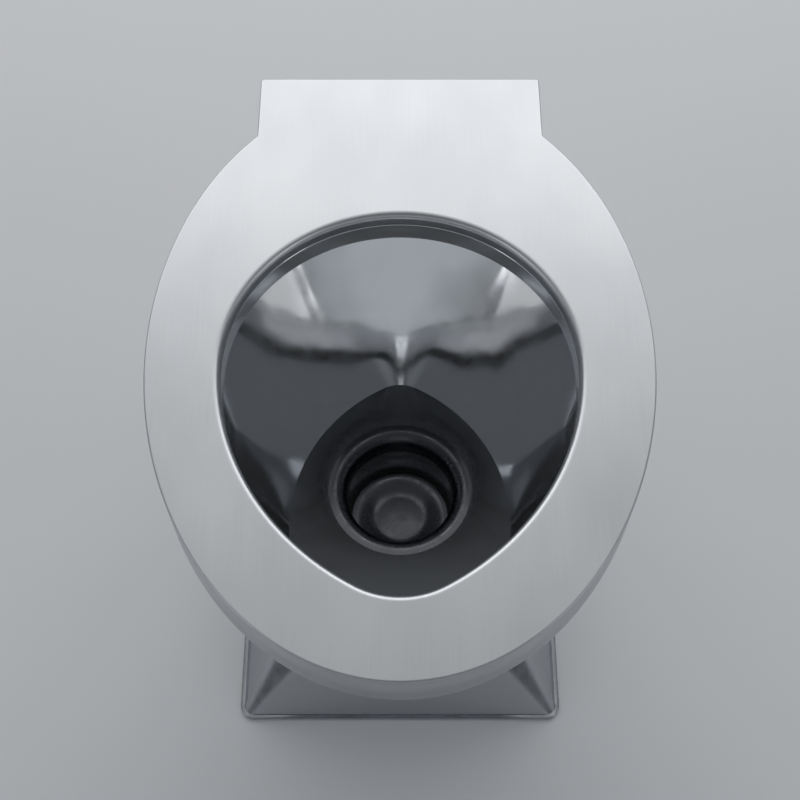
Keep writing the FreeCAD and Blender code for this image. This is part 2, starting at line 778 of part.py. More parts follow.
def make_inlet_fitting():
    """Bulkhead fitting: head on the rim floor, shank for the locknut, hose thread pointing down."""
    body = new_body("inlet_fitting")
    head = new_sketch(body, "head", level=rim_floor_top)
    draw(head, hexagon(0, inlet_back, s.inlet_flats))
    pad(body, head, s.inlet_head)
    for name, bottom, top, radius in (
            ("shank", shank_end, rim_floor_top, shank_radius),
            ("relief", thread_top, shank_end, thread_radius - s.relief_depth),
            ("thread", thread_end, thread_top, thread_radius)):
        section = new_sketch(body, name, level=bottom)
        draw_circle(section, 0, inlet_back, radius)
        pad(body, section, top - bottom)
    for name, depth, radius in (
            ("bore", inlet_top - thread_end, s.inlet_bore / 2),
            ("seat", s.pipe_seat, s.pipe_size / 2 + s.fit_gap)):
        section = new_sketch(body, name, level=inlet_top)
        draw_circle(section, 0, inlet_back, radius)
        pocket(body, section, depth)


def make_inlet_washer():
    """Rubber washer under the rim floor."""
    body = new_body("inlet_washer")
    plan = new_sketch(body, "plan", level=rim_floor_z - s.washer_sheet)
    draw_circle(plan, 0, inlet_back, s.washer_size / 2)
    draw_circle(plan, 0, inlet_back, shank_radius + s.fit_gap)
    pad(body, plan, s.washer_sheet)


def make_inlet_locknut():
    """Nut that holds the inlet fitting to the rim floor."""
    body = new_body("inlet_locknut")
    plan = new_sketch(body, "plan", level=rim_floor_z - s.washer_sheet - s.locknut_height)
    draw(plan, hexagon(0, inlet_back, s.locknut_flats))
    draw_circle(plan, 0, inlet_back, shank_radius + s.fit_gap)
    pad(body, plan, s.locknut_height)


def make_flap_plate():
    """Dished disc that closes the outlet."""
    body = new_body("flap_plate")
    profile = new_sketch(body, "profile", role="XZ_Plane")
    rim = bore_radius - s.flap_rim
    middle = s.dish_floor / 2
    draw(profile, [
        (0, flap_under - s.dish_drop),
        (middle, flap_under - s.dish_drop),
        (rim, flap_under),
        (flap_radius, flap_under),
        (flap_radius, flap_top),
        (rim, flap_top),
        (middle, flap_top - s.dish_drop),
        (0, flap_top - s.dish_drop),
    ])
    revolve(body, profile)


def make_flap_seal():
    """Rubber ring that grips the rim of the flap."""
    body = new_body("flap_seal")
    profile = new_sketch(body, "profile", role="XZ_Plane")
    inner = bore_radius - s.seal_cover
    groove = flap_radius + s.fit_gap
    draw(profile, [
        (inner, flap_top),
        (groove, flap_top),
        (groove, flap_under),
        (tube_radius, flap_under),
        (tube_radius, flap_under - s.seal_under),
        (seal_radius, flap_under - s.seal_under),
        (seal_radius, flap_top + s.seal_lip),
        (inner, flap_top + s.seal_lip),
    ])
    revolve(body, profile)


def make_hinge_strap():
    """Strap under the flap, ending in two eyes with room between them for the spring."""
    body = new_body("hinge_strap")
    left = -s.strap_width / 2
    blade = new_sketch(body, "blade", role="YZ_Plane", level=left)
    draw(blade, [
        (-s.strap_reach, strap_top - s.strap_sheet),
        (pivot_y, strap_top - s.strap_sheet),
        (pivot_y, strap_top),
        (-s.strap_reach, strap_top),
    ])
    pad(body, blade, s.strap_width)
    eye = new_sketch(body, "eye", role="YZ_Plane", level=left)
    draw_circle(eye, pivot_y, pivot_z, s.eye_radius)
    pad(body, eye, s.strap_width)
    bore = new_sketch(body, "bore", role="YZ_Plane", level=s.strap_width / 2)
    draw_circle(bore, pivot_y, pivot_z, bush_radius + s.fit_gap)
    pocket(body, bore, s.strap_width)
    window = new_sketch(body, "window", level=pivot_z + s.eye_radius)
    half = s.spring_room / 2
    front = pivot_y - 2 * s.eye_radius
    rear = pivot_y + 2 * s.eye_radius
    draw(window, [(-half, front), (half, front), (half, rear), (-half, rear)])
    pocket(body, window, 2 * s.eye_radius)


def make_hinge_bushes():
    """Plastic bushes in the eyes, each with a flange against its lug."""
    body = new_body("hinge_bushes")
    features = []
    for name, start, length, radius in (
            ("sleeve", s.spring_room / 2, (s.strap_width - s.spring_room) / 2, bush_radius),
            ("flange", s.strap_width / 2, s.bush_flange, s.bush_flange_size / 2)):
        ring = new_sketch(body, name, role="YZ_Plane", level=start)
        draw_circle(ring, pivot_y, pivot_z, radius)
        draw_circle(ring, pivot_y, pivot_z, pin_bore)
        features.append(pad(body, ring, length))
    mirrored(body, features)


def make_hinge_lugs():
    """Two plates on the rear of the outlet tube that carry the pin."""
    body = new_body("hinge_lugs")
    plate = new_sketch(body, "plate", role="YZ_Plane", level=lug_inner)
    seat = root(tube_radius * tube_radius - lug_inner * lug_inner) + s.seat_gap
    bottom = s.tube_end + s.lug_start
    top = bottom + s.lug_rise
    front = pivot_y - s.lug_radius
    rear = pivot_y + s.lug_radius
    draw(plate, [
        (seat, top),
        (seat, bottom),
        (front, bottom),
        (front, pivot_z, s.lug_radius, 1),
        (pivot_y, pivot_z - s.lug_radius, s.lug_radius, 1),
        (rear, pivot_z),
        (rear, pivot_z + s.lug_radius),
        (seat + s.lug_top, top),
    ])
    draw_circle(plate, pivot_y, pivot_z, pin_bore)
    mirrored(body, [pad(body, plate, s.lug_sheet)])


def make_hinge_pin():
    """Pin through lugs and bushes, with a head and a groove for its clip."""
    body = new_body("hinge_pin")
    clip_start = -(lug_outer + s.seat_gap)
    clip_end = clip_start - s.clip_sheet - s.fit_gap
    tail = clip_end - s.pin_head_length
    head_start = lug_outer + s.seat_gap
    groove_radius = pin_radius - s.groove_depth
    for name, start, end, radius in (
            ("tail", tail, clip_end, pin_radius),
            ("groove", clip_end, clip_start, groove_radius),
            ("shank", clip_start, head_start, pin_radius),
            ("head", head_start, head_start + s.pin_head_length, s.pin_head / 2)):
        section = new_sketch(body, name, role="YZ_Plane", level=start)
        draw_circle(section, pivot_y, pivot_z, radius)
        pad(body, section, end - start)


def make_pin_clip():
    """Open clip in the groove of the pin."""
    body = new_body("pin_clip")
    start = -(lug_outer + s.seat_gap) - s.clip_sheet
    groove_radius = pin_radius - s.groove_depth + s.fit_gap
    ring = new_sketch(body, "ring", role="YZ_Plane", level=start)
    draw_circle(ring, pivot_y, pivot_z, s.clip_size / 2)
    draw_circle(ring, pivot_y, pivot_z, groove_radius)
    pad(body, ring, s.clip_sheet)
    slot = new_sketch(body, "slot", role="YZ_Plane", level=start + s.clip_sheet)
    mouth = s.clip_mouth / 2
    draw(slot, [
        (pivot_y - mouth, pivot_z - s.clip_size),
        (pivot_y + mouth, pivot_z - s.clip_size),
        (pivot_y + mouth, pivot_z),
        (pivot_y - mouth, pivot_z),
    ])
    pocket(body, slot, s.clip_sheet)


def spring_path():
    """Centre line of the spring: leg under the strap, coil about the pin, leg up to the anchor."""
    wire = s.wire_size.number
    radius = s.coil_radius.number
    reach = s.leg_reach.number
    strap_bottom = strap_top.number - s.strap_sheet.number
    leg_end = strap_bottom - wire / 2 - s.seal_gap.number
    climb = leg_end - (pivot_z.number - radius)
    tilt = math.degrees(math.asin(climb / reach))
    first = -90 - tilt
    last = FIXED_LEG_LEAN + 360 * COIL_TURNS
    arcs = math.ceil((last - first) / 90)
    half_length = s.coil_pitch.number * (last - first) / 720

    def on_coil(angle):
        turned = math.radians(angle)
        along = half_length - s.coil_pitch.number * (angle - first) / 360
        return FreeCAD.Vector(along, pivot_y.number + radius * math.cos(turned),
                              pivot_z.number + radius * math.sin(turned))

    step = (last - first) / arcs
    stations = [first + step * index / 2 for index in range(2 * arcs + 1)]
    points = [on_coil(angle) for angle in stations]
    curves = [Part.Arc(*points[index:index + 3]) for index in range(0, 2 * arcs, 2)]
    start = curves[0].tangent(curves[0].FirstParameter)[0]
    end = curves[-1].tangent(curves[-1].LastParameter)[0]
    anchor_top = s.tube_end.number + s.anchor_start.number + s.anchor_height.number
    rise = (anchor_top + wire - points[-1].z) / end.z
    legs = [Part.LineSegment(points[0] - start * reach, points[0]),
            Part.LineSegment(points[-1], points[-1] + end * rise)]
    edges = [legs[0].toShape(), *[curve.toShape() for curve in curves], legs[1].toShape()]
    return Part.Wire(edges), start


def least_gap(path, wire):
    """The least gap between turns of a wire, measured on points of its centre line."""
    spacing = wire / 2
    points = path.discretize(Distance=spacing)
    apart = math.ceil(math.pi * wire / spacing)
    near = min(points[index].distanceToPoint(other)
               for index in range(len(points)) for other in points[index + apart:])
    return near - wire


def make_torsion_spring():
    """Wire spring that presses the flap shut."""
    path, start = spring_path()
    wire = s.wire_size.number
    section = Part.Wire(Part.Circle(path.Edges[0].Vertexes[0].Point, start, wire / 2).toShape())
    spring = doc.addObject("Part::Feature", "torsion_spring")
    spring.Label = "torsion_spring"
    spring.Shape = path.makePipeShell([section], True, False)
    spring.Placement = FreeCAD.Placement()
    PIECES.append(spring)
    drawn_volume = path.Length * math.pi * wire ** 2 / 4
    print(f"spring turns are at least {least_gap(path, wire):.2f} mm apart")
    share = spring.Shape.Volume / drawn_volume
    print(f"spring volume is {share:.4f} of its wire's length times its section")


def fixed_leg_front():
    """How far back the front of the spring's upper leg is at the top of the anchor."""
    lean = math.radians(FIXED_LEG_LEAN)
    start_y = pivot_y + s.coil_radius * math.cos(lean)
    start_z = pivot_z + s.coil_radius * math.sin(lean)
    top = s.tube_end + s.anchor_start + s.anchor_height
    return start_y - (top - start_z) * math.tan(lean) - s.wire_size / (2 * math.cos(lean))


def make_spring_anchor():
    """Tab on the outlet tube that the spring's upper leg bears on."""
    anchor = doc.addObject("Part::Box", "spring_anchor")
    anchor.Label = "spring_anchor"
    front = tube_radius + s.seat_gap
    for name, size in (
            ("Length", s.anchor_width),
            ("Width", fixed_leg_front() - s.seal_gap - front),
            ("Height", s.anchor_height),
            ("Placement.Base.x", -s.anchor_side - s.anchor_width / 2),
            ("Placement.Base.y", front),
            ("Placement.Base.z", s.tube_end + s.anchor_start)):
        anchor.setExpression(name, size.text)
    PIECES.append(anchor)


def check_document():
    """Stops if any object failed, any piece is not a sound solid or any cut removed nothing."""
    for item in doc.Objects:
        if "Invalid" in item.State or "Error" in item.State:
            raise RuntimeError(f"{item.Label} failed: {item.State}")
        if item.TypeId in CUTS:
            if item.Shape.Volume >= item.BaseFeature.Shape.Volume:
                raise RuntimeError(f"{item.Label} cuts nothing")
    for piece in PIECES:
        if piece.Shape.isNull() or not piece.Shape.isValid() or not piece.Shape.Solids:
            raise RuntimeError(f"{piece.Label} is not a sound solid")


make_top_deck()
make_deck_skirt()
make_rim_collar()
make_rim_floor()
make_bowl_wall()
make_bowl_sump()
make_throat_ring()
make_outlet_tube()
make_neck_ring()
make_pedestal()
make_base_plate()
make_weld_nuts()
make_spray_ring()
make_ring_posts()
make_feed_pipe()
make_inlet_fitting()
make_inlet_washer()
make_inlet_locknut()
make_hinge_lugs()
make_hinge_pin()
make_pin_clip()
make_hinge_bushes()
make_hinge_strap()
make_flap_plate()
make_flap_seal()
make_torsion_spring()
make_spring_anchor()
doc.recompute()
check_document()

os.makedirs("parts", exist_ok=True)
for piece in PIECES:
    piece.Shape.exportStep(f"parts/{piece.Label}.step")
    print(f"{piece.Label}: {len(piece.Shape.Solids)} solid(s), {piece.Shape.Volume:.0f} cubic mm")
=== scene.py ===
import math

import bmesh
import bpy
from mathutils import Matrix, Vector


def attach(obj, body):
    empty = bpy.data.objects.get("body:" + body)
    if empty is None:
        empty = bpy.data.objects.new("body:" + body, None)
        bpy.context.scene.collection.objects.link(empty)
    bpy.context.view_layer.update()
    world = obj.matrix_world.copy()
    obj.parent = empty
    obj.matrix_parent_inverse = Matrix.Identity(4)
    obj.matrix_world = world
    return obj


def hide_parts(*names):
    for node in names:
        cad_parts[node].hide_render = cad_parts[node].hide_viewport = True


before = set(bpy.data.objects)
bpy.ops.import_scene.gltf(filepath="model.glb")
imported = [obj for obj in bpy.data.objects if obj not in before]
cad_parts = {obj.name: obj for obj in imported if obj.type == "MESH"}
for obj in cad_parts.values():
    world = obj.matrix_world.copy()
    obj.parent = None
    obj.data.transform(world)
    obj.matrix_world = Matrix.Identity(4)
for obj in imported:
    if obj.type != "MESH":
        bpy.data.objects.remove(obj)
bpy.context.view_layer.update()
scene = bpy.context.scene

# Lengths are in millimetres and angles in degrees, as the solids have them unless a comment says otherwise.
# The origin is on the floor, under the outlet.
MM_PER_M = 1000
SHEET = 1.5

# Deck and the band round its edge. The solid's tab has corners of 8 mm, and the photo shows sharper ones.
DECK_TOP = 400.0
DECK_HALF_WIDTH = 187.0
DECK_HALF_LENGTH = 251.5
DECK_MIDDLE = 18.5
TAB_HALF = 115.0
TAB_REAR = 277.0
TAB_CORNER = 3.0
EDGE_ROUND = 1.2
SKIRT_LOW = 360.0

# Opening: a wide round rear, a narrow round tip and the flanks between them, with a rolled lip and a collar
EGG_HALF = 131.5
EGG_MIDDLE = 5.5
TIP_RADIUS = 63.0
TIP_MIDDLE = -110.0
EGG_SPAN = EGG_MIDDLE - TIP_MIDDLE
FLANK_RADIUS = (EGG_HALF ** 2 + EGG_SPAN ** 2 - TIP_RADIUS ** 2) / (2 * (EGG_HALF - TIP_RADIUS))
TIP_TURN = EGG_SPAN / (FLANK_RADIUS - TIP_RADIUS)
LIP_ROUND = 5.0
LIP_LOW = 388.0
COLLAR_LOW = 370.0
HEM_HEIGHT = 3.0

# Bowl: the funnel's mouth and flange, the sump with its wide front and narrow heel, the shoulder, the outlet
MOUTH_GAP = 14.0
MOUTH_Z = 362.0
FLANGE_EDGE = 26.0
SUMP_HALF = 88.5
SUMP_MIDDLE = -61.0
HEEL_RADIUS = 28.5
HEEL_MIDDLE = 36.5
SUMP_SPAN = HEEL_MIDDLE - SUMP_MIDDLE
SUMP_FLANK = (SUMP_HALF ** 2 + SUMP_SPAN ** 2 - HEEL_RADIUS ** 2) / (2 * (SUMP_HALF - HEEL_RADIUS))
HEEL_TURN = SUMP_SPAN / (SUMP_FLANK - HEEL_RADIUS)
SUMP_Z = 260.0
SEAT_RADIUS = 61.5
THROAT_Z = 193.0
SHOULDER = 12.0
BORE = 46.0
THROAT_LOW = 172.0
TUBE_LOW = 138.0

# Sides of the funnel, not on the solid: beside a straight strip the mouth is drawn in and the wall swells
STRIP_HALF = 16.0
LEAN_EDGE = 110.0
LEAN_POWER = 0.6
MOUTH_TUCK = 4.0
WALL_BELLY = 1.5

# Neck, pedestal and floor plate
NECK_RADIUS = 66.0
NECK_Z = 155.0
NECK_TOP = 192.4
FOOT_HALF = 146.0
FOOT_CORNER = 10.0
FOOT_Z = 3.0
FLAT_ANGLE = 1.5
PLATE_HALF = 150.0
PLATE_CORNER = 14.0
PLATE_ROUND = 1.2
DROP_RADIUS = 110.0
BOLT_PLACE = 120.0
BOLT_HOLE = 4.5

# Flap and its spring
FLAP_RADIUS = 54.0
FLAP_TOP = 134.7
FLAP_SHEET = 2.0
DISH_RADIUS = 41.0
DISH_FLOOR = 20.0
DISH_DROP = 5.0
PIVOT_Y = 65.0
PIVOT_Z = 126.2
WIRE = 1.6
COIL_RADIUS = 5.3
COIL_PITCH = 2.15
COIL_TURNS = 7
LEG_REACH = 27.0
LEG_LEAN = 25.0
LEG_GAP = 0.3
STRAP_LOW = 124.7
ANCHOR_TOP = 144.0

# Broken sheet edges, not on the solids, and the distance at which an outline holds a flat beside a bend
EDGE_BREAK = 0.4
INNER_BREAK = 0.3
TUBE_BREAK = 0.5
SKIRT_BREAK = 0.6
SKIRT_BEND_IN = 0.2
SKIRT_BEND_UP = 0.15
HOLD = 0.6

# Fineness of the meshes
AROUND = 320
FLAT_STEPS = 20
BEND_STEPS = AROUND // 4 - FLAT_STEPS
TAB_SIDE_STEPS = 6
TAB_REAR_STEPS = 40
TAB_CORNER_STEPS = 8
FUNNEL_STEPS = 16
DISH_STEPS = 36
COIL_STEP = 7.5
WIRE_SIDES = 20
SHARP_ANGLE = 32
MERGE_METRES = 0.000005

# Values between which nearly all of a noise lies, and its middle
NOISE_SPAN = (0.3, 0.7)
NOISE_MIDDLE = 0.5

# Polished sheet: how much longer its waver is upwards than across, and the size of a wiping mark
WAVE_STRETCH = 1.6
WIPE_MARK = (14, 14, 30)


def facing(angle):
    """The shares across and along of a direction in plan."""
    turn = math.radians(angle)
    return math.cos(turn), math.sin(turn)


EVEN = [360 * step / AROUND for step in range(AROUND)]
FACING = [Vector((*facing(angle), 0)) for angle in EVEN]


def feed(tree, node, inputs):
    """Sets a node's inputs; each is a value or the socket that feeds it."""
    for name, value in inputs.items():
        if isinstance(value, bpy.types.NodeSocket):
            tree.links.new(value, node.inputs[name])
        else:
            node.inputs[name].default_value = value


def add(tree, kind, inputs=None, **settings):
    """Adds a node with its settings and inputs."""
    node = tree.nodes.new(kind)
    for name, value in settings.items():
        setattr(node, name, value)
    feed(tree, node, inputs or {})
    return node


def paint(code):
    """An sRGB hex colour as linear RGBA."""
    parts = [int(code[place:place + 2], 16) / 255 for place in (1, 3, 5)]
    return (*[part / 12.92 if part <= 0.04045 else ((part + 0.055) / 1.055) ** 2.4 for part in parts], 1.0)


def new_material(name):
    """A material whose tree holds only its output and a Principled shader."""
    material = bpy.data.materials.new(name)
    material.use_nodes = True
    tree = material.node_tree
    tree.nodes.clear()
    shader = add(tree, "ShaderNodeBsdfPrincipled")
    add(tree, "ShaderNodeOutputMaterial", {"Surface": shader.outputs["BSDF"]})
    return material, tree, shader


def noise(tree, place, lengths, detail, roughness):
    """A noise whose features have these lengths along X, Y and Z."""
    scale = tuple(MM_PER_M / length for length in lengths)
    spread = add(tree, "ShaderNodeMapping", {"Vector": place, "Scale": scale})
    return add(tree, "ShaderNodeTexNoise", {
        "Vector": spread.outputs["Vector"], "Scale": 1.0, "Detail": detail,
        "Roughness": roughness}).outputs["Fac"]


def ranged(tree, value, span, into=(0.0, 1.0)):
    """A value from one span carried over into another and held at its ends."""
    return add(tree, "ShaderNodeMapRange", {
        "Value": value, "From Min": span[0], "From Max": span[1],
        "To Min": into[0], "To Max": into[1]}).outputs["Result"]


def mixed(tree, share, dark, pale):
    """A colour between two hex colours."""
    return add(tree, "ShaderNodeMix", {
        "Factor": share, "A": paint(dark), "B": paint(pale)}, data_type="RGBA").outputs["Result"]


def brushed_stainless(name, line, run, streak, dark, pale, rough):
    """Sheet stainless steel brushed with an abrasive belt: soft gloss drawn out in fine parallel lines.

    line is the size of a brush mark along X, Y and Z, run that of the soft clouding, and streak how much
    the marks count beside the clouding. Real marks are about 0.1 mm wide, so they are drawn several times
    as wide to show.
    """
    material, tree, shader = new_material(name)
    place = add(tree, "ShaderNodeTexCoord").outputs["Object"]
    marks = noise(tree, place, line, detail=3.0, roughness=0.65)
    clouds = noise(tree, place, run, detail=2.0, roughness=0.5)
    tone = add(tree, "ShaderNodeMath", {0: marks, 1: streak, 2: clouds}, operation="MULTIPLY_ADD").outputs[0]
    margin = 0.15
    darkest = NOISE_SPAN[0] + NOISE_MIDDLE * streak - margin
    palest = NOISE_SPAN[1] + NOISE_MIDDLE * streak + margin
    level = ranged(tree, tone, (darkest, palest))
    gloss = ranged(tree, marks, NOISE_SPAN, (rough - 0.03, rough + 0.04))
    relief = add(tree, "ShaderNodeBump", {"Height": marks, "Strength": 0.07, "Distance": 0.00004})
    feed(tree, shader, {
        "Base Color": mixed(tree, level, dark, pale), "Metallic": 1.0, "Roughness": gloss,
        "Normal": relief.outputs["Normal"]})
    return material


def polished_stainless(name, tint, rough, wave, height, haze=0.0):
    """Stainless steel buffed to a mirror: clear reflections that waver where the sheet was drawn.

    wave and height are the length and the depth of the waver, and haze is the share of light that wiping
    marks scatter.
    """
    material, tree, shader = new_material(name)
    place = add(tree, "ShaderNodeTexCoord").outputs["Object"]
    waves = noise(tree, place, (wave, wave, wave * WAVE_STRETCH), detail=1.0, roughness=0.4)
    wipes = noise(tree, place, WIPE_MARK, detail=4.0, roughness=0.6)
    gloss = ranged(tree, wipes, (0.35, 0.7), (rough * 0.7, rough * 1.4))
    relief = add(tree, "ShaderNodeBump", {
        "Height": waves, "Strength": 1.0, "Distance": height / MM_PER_M})
    feed(tree, shader, {
        "Base Color": paint(tint), "Metallic": 1.0 - haze, "Roughness": gloss,
        "Normal": relief.outputs["Normal"]})
    return material


def speckled(name, dark, pale, rough, grain, metallic=0.0, height=0.0):
    """A plain surface whose tone and gloss vary by a grain of this size and height."""
    material, tree, shader = new_material(name)
    place = add(tree, "ShaderNodeTexCoord").outputs["Object"]
    grains = noise(tree, place, (grain, grain, grain), detail=5.0, roughness=0.6)
    level = ranged(tree, grains, NOISE_SPAN)
    gloss = ranged(tree, grains, NOISE_SPAN, (rough - 0.06, rough + 0.08))
    relief = add(tree, "ShaderNodeBump", {
        "Height": grains, "Strength": 0.3, "Distance": height / MM_PER_M})
    feed(tree, shader, {
        "Base Color": mixed(tree, level, dark, pale), "Metallic": metallic, "Roughness": gloss,
        "Normal": relief.outputs["Normal"]})
    return material


deck_steel = brushed_stainless(
    "brushed_stainless_deck", line=(0.8, 90, 0.8), run=(70, 130, 70), streak=0.5,
    dark="#BDBFC2", pale="#CFD1D3", rough=0.36)
band_steel = brushed_stainless(
    "brushed_stainless_band", line=(70, 70, 0.7), run=(80, 80, 30), streak=0.8,
    dark="#A9ABAE", pale="#C3C5C8", rough=0.30)
mirror_steel = polished_stainless(
    "polished_stainless_bowl", "#D2D4D7", rough=0.09, wave=60, height=1.2, haze=0.05)
collar_steel = polished_stainless(
    "polished_stainless_collar", "#D2D4D7", rough=0.12, wave=60, height=0.2, haze=0.35)
# The sump and outlet tube are tinted darker than the bowl: painted shade of the deep sump. Their greater
# roughness and haze are a duller finish.
sump_steel = polished_stainless(
    "dulled_and_shade_darkened_stainless_sump", "#AEB1B5", rough=0.13, wave=55, height=0.8, haze=0.3)
# The dark tint of the flap and the throat ring is painted shade deep in the outlet. Their greater roughness
# is a duller finish.
flap_steel = polished_stainless("dulled_and_shade_darkened_stainless_flap", "#66686C", rough=0.28, wave=40, height=0.2)
# The lip is tinted paler than the bowl: a painted highlight that brightens the reflection along the lip.
lip_steel = polished_stainless("polished_stainless_lip", "#DADCDF", rough=0.07, wave=60, height=0.1)
# The foot, neck band and floor plate are tinted darker than the bowl: painted shade that dims the pale
# floor's reflection in them.
foot_steel = polished_stainless("polished_stainless_foot", "#B2B5B9", rough=0.16, wave=70, height=0.2)
# Cold-rolled stainless steel as it leaves the mill: dull, even and slightly mottled
mill_steel = speckled(
    "mill_finish_stainless", "#8E9093", "#A6A8AB", rough=0.42, grain=9, metallic=1.0, height=0.01)
# Drawn stainless spring wire: darker and smoother than the sheet
wire_steel = speckled(
    "drawn_spring_wire", "#6E7073", "#86888B", rough=0.30, grain=3, metallic=1.0, height=0.004)
# Turned and nickel-free brass, dulled by handling
brass = speckled("turned_brass", "#9A7B3C", "#C2A15A", rough=0.30, grain=6, metallic=1.0, height=0.006)
# Moulded EPDM rubber: nearly black, with a faint bloom
rubber = speckled("moulded_epdm_rubber", "#151515", "#262626", rough=0.62, grain=4, height=0.02)
# Natural nylon: milky, slightly glossy
nylon = speckled("natural_nylon", "#D6CFBE", "#E4DECF", rough=0.40, grain=5, height=0.01)


def egg(offset, z, angles=EVEN):
    """The opening's outline moved outwards by offset; each angle is the way the outline faces."""
    points = []
    for angle in angles:
        across, along = facing(angle)
        if along >= 0:
            x = (EGG_HALF + offset) * across
            y = EGG_MIDDLE + (EGG_HALF + offset) * along
        elif -along > TIP_TURN:
            x = (TIP_RADIUS + offset) * across
            y = TIP_MIDDLE + (TIP_RADIUS + offset) * along
        else:
            x = math.copysign(FLANK_RADIUS - EGG_HALF, -across) + (FLANK_RADIUS + offset) * across
            y = EGG_MIDDLE + (FLANK_RADIUS + offset) * along
        points.append(Vector((x, y, z)))
    return points


def sump_edge(offset, z):
    """The sump's outline moved outwards by offset: wide at the front, narrow at the rear."""
    points = []
    for angle in EVEN:
        across, along = facing(angle)
        if along <= 0:
            x = (SUMP_HALF + offset) * across
            y = SUMP_MIDDLE + (SUMP_HALF + offset) * along
        elif along > HEEL_TURN:
            x = (HEEL_RADIUS + offset) * across
            y = HEEL_MIDDLE + (HEEL_RADIUS + offset) * along
        else:
            x = math.copysign(SUMP_FLANK - SUMP_HALF, -across) + (SUMP_FLANK + offset) * across
            y = SUMP_MIDDLE + (SUMP_FLANK + offset) * along
        points.append(Vector((x, y, z)))
    return points


def ring(radius, z):
    """A circle about the outlet axis."""
    ways = [facing(angle) for angle in EVEN]
    return [Vector((radius * across, radius * along, z)) for across, along in ways]


def turned(section):
    """Circles about the outlet axis from pairs of radius and height."""
    return [ring(radius, z) for radius, z in section]


def between(low, high, steps):
    """Outlines on the straight lines from one outline to another, without the first."""
    return [[a.lerp(b, step / steps) for a, b in zip(low, high)] for step in range(1, steps + 1)]


def arc(middle, radius, start, end, steps):
    """Points of an arc in a section or in plan, as pairs, from one angle to another."""
    turns = [math.radians(start + (end - start) * step / steps) for step in range(steps + 1)]
    return [(middle[0] + radius * math.cos(turn), middle[1] + radius * math.sin(turn)) for turn in turns]


def aside(outline):
    """How far each point lies to the side of the funnel's straight strip, from 0 to 1."""
    shares = [(abs(point.x) - STRIP_HALF) / (LEAN_EDGE - STRIP_HALF) for point in outline]
    return [min(max(share, 0), 1) ** LEAN_POWER for share in shares]


def drawn_in(outline):
    """The funnel's mouth, drawn in on either side of its straight strip."""
    return [point - MOUTH_TUCK * share * way
            for point, share, way in zip(outline, aside(outline), FACING)]


def bellied(high, low, steps):
    """Outlines from one outline down to another, without the first.

    They swell outwards at the sides, most of all halfway down.
    """
    outlines = []
    for step in range(1, steps + 1):
        swell = 4 * WALL_BELLY * (step / steps) * (1 - step / steps)
        outlines.append([a.lerp(b, step / steps) + swell * share * way
                         for a, b, share, way in zip(high, low, aside(high), FACING)])
    return outlines


def deck_outline(inset, z):
    """The deck's outer outline moved inwards: right side of the tab, its rear, left side, then the oval."""
    across = DECK_HALF_WIDTH - inset
    along = DECK_HALF_LENGTH - inset
    side = TAB_HALF - inset
    rear = TAB_REAR - inset
    corner = TAB_CORNER - inset
    straight = side - corner
    bend_y = rear - corner
    root_turn = math.degrees(math.acos(side / across))
    root_y = DECK_MIDDLE + along * math.sin(math.radians(root_turn))
    rise = [(bend_y - root_y) * step / TAB_SIDE_STEPS for step in range(TAB_SIDE_STEPS)]
    points = [(side, root_y + height) for height in rise]
    points += arc((straight, bend_y), corner, 0, 90, TAB_CORNER_STEPS)[:-1]
    points += [(straight - 2 * straight * step / TAB_REAR_STEPS, rear) for step in range(TAB_REAR_STEPS)]
    points += arc((-straight, bend_y), corner, 90, 180, TAB_CORNER_STEPS)[:-1]
    points += [(-side, bend_y - height) for height in rise]
    oval = AROUND - len(points)
    for step in range(oval):
        turn = math.radians(180 - root_turn + (180 + 2 * root_turn) * step / oval)
        points.append((across * math.cos(turn), DECK_MIDDLE + along * math.sin(turn)))
    return [Vector((x, y, z)) for x, y in points]


def foot_outline(half, corner, z):
    """A square with round corners: for each quarter a flat and a corner."""
    points = []
    straight = half - corner
    flat = [(half, -straight + 2 * straight * step / FLAT_STEPS) for step in range(FLAT_STEPS)]
    bend = arc((straight, straight), corner, 0, 90, BEND_STEPS)[:-1]
    for quarter in range(4):
        turn = math.radians(90 * quarter)
        for x, y in flat + bend:
            points.append(Vector((x * math.cos(turn) - y * math.sin(turn),
                                  x * math.sin(turn) + y * math.cos(turn), z)))
    return points


def neck_outline(radius, z):
    """The pedestal's round neck, with its points over those of the foot."""
    points = []
    flat = [-FLAT_ANGLE + 2 * FLAT_ANGLE * step / FLAT_STEPS for step in range(FLAT_STEPS)]
    bend = [FLAT_ANGLE + (90 - 2 * FLAT_ANGLE) * step / BEND_STEPS for step in range(BEND_STEPS)]
    for quarter in range(4):
        for angle in flat + bend:
            across, along = facing(90 * quarter + angle)
            points.append(Vector((radius * across, radius * along, z)))
    return points


def dish(top):
    """Section of the flap's upper or lower face from its axis to its rim, with soft bends."""
    points = []
    for step in range(DISH_STEPS + 1):
        radius = FLAP_RADIUS * step / DISH_STEPS
        share = min(max((radius - DISH_FLOOR) / (DISH_RADIUS - DISH_FLOOR), 0), 1)
        points.append((radius, top - DISH_DROP * (1 - share * share * (3 - 2 * share))))
    return points


def spring_path():
    """Centre line of the spring: leg under the strap, coil about the pin, leg up to its tab."""
    climb = STRAP_LOW - WIRE / 2 - LEG_GAP - (PIVOT_Z - COIL_RADIUS)
    first = -90 - math.degrees(math.asin(climb / LEG_REACH))
    last = LEG_LEAN + 360 * COIL_TURNS
    half_length = COIL_PITCH * (last - first) / 360 / 2
    steps = int((last - first) / COIL_STEP)
    points = []
    for step in range(steps + 1):
        angle = first + (last - first) * step / steps
        across, along = facing(angle)
        points.append(Vector((half_length - COIL_PITCH * (angle - first) / 360,
                              PIVOT_Y + COIL_RADIUS * across, PIVOT_Z + COIL_RADIUS * along)))
    start = (points[1] - points[0]).normalized()
    end = (points[-1] - points[-2]).normalized()
    rise = (ANCHOR_TOP + WIRE - points[-1].z) / end.z
    return [points[0] - start * LEG_REACH, *points, points[-1] + end * rise]


